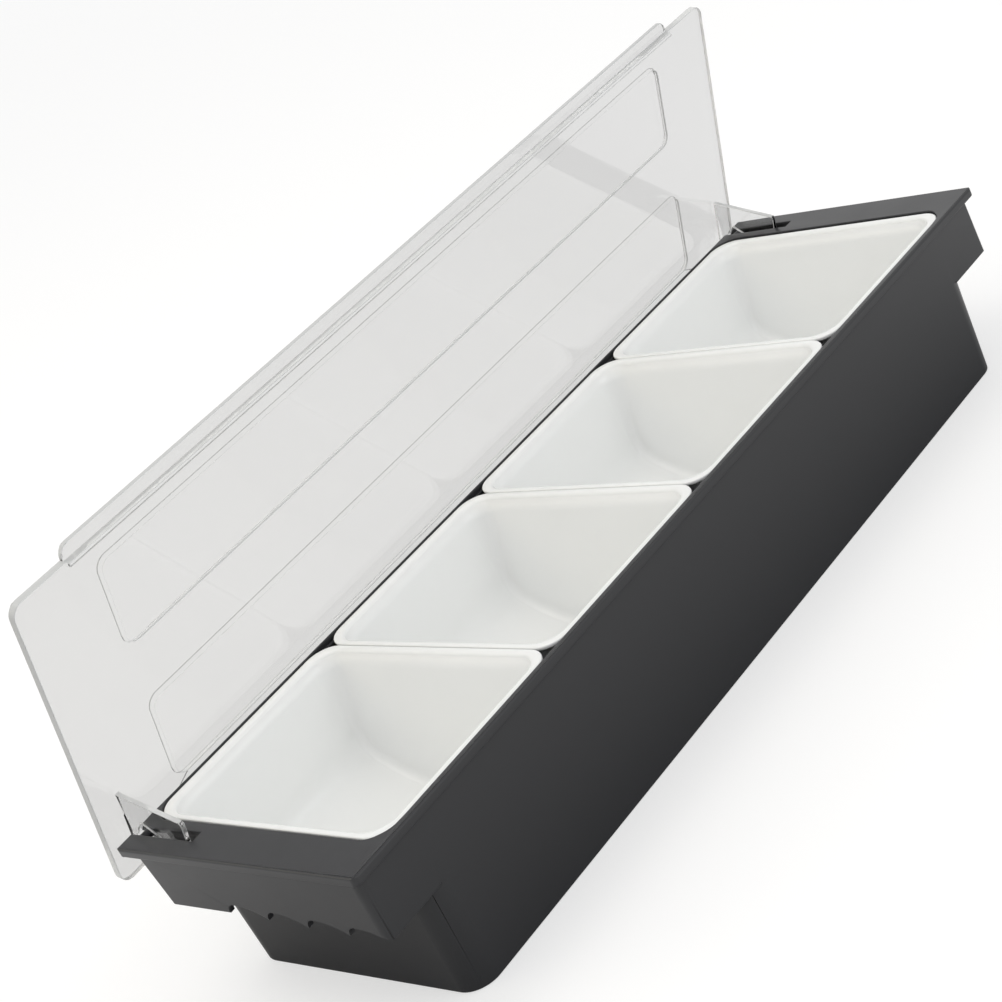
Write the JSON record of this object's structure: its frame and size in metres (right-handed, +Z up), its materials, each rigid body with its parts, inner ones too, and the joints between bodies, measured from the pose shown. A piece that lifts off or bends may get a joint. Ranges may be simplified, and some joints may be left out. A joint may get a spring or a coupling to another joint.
{
  "type": "condiment caddy with hinged lid",
  "caption": "Long counter-top condiment tray with lift-out insert pans and one clear lid that swings on hooked ears at both ends.",
  "frame": {"origin": "centre of the tray's underside, on the table", "axes": "+X along the length to the right-hand end flange, -Y to the front where the lid opens, +Z up"},
  "size_m": [0.49, 0.1565, 0.2074],
  "materials": {
    "tray_plastic": "satin-gloss moulded black",
    "insert_plastic": "gloss white",
    "lid_plastic": "clear, polished",
    "pin_steel": "brushed"
  },
  "bodies": {
    "base": {"tray": "tray_plastic", "hinge_pin_left": "pin_steel", "hinge_pin_right": "pin_steel"},
    "lid": {"lid": "lid_plastic"},
    "insert_1": {"insert_1": "insert_plastic"},
    "insert_2": {"insert_2": "insert_plastic"},
    "insert_3": {"insert_3": "insert_plastic"},
    "insert_4": {"insert_4": "insert_plastic"}
  },
  "joints": [
    {"name": "lid_hinge", "type": "hinge", "parent": "base", "child": "lid", "pos_m": [0, 0.0624, 0.06897], "axis": [-1, 0, 0], "range_deg": [-72, 23]},
    {"name": "insert_1_lift", "type": "slide", "parent": "base", "child": "insert_1", "axis": [0, 0, 1], "range_m": [0, 0.015]},
    {"name": "insert_2_lift", "type": "slide", "parent": "base", "child": "insert_2", "axis": [0, 0, 1], "range_m": [0, 0.015]},
    {"name": "insert_3_lift", "type": "slide", "parent": "base", "child": "insert_3", "axis": [0, 0, 1], "range_m": [0, 0.015]},
    {"name": "insert_4_lift", "type": "slide", "parent": "base", "child": "insert_4", "axis": [0, 0, 1], "range_m": [0, 0.015]}
  ]
}
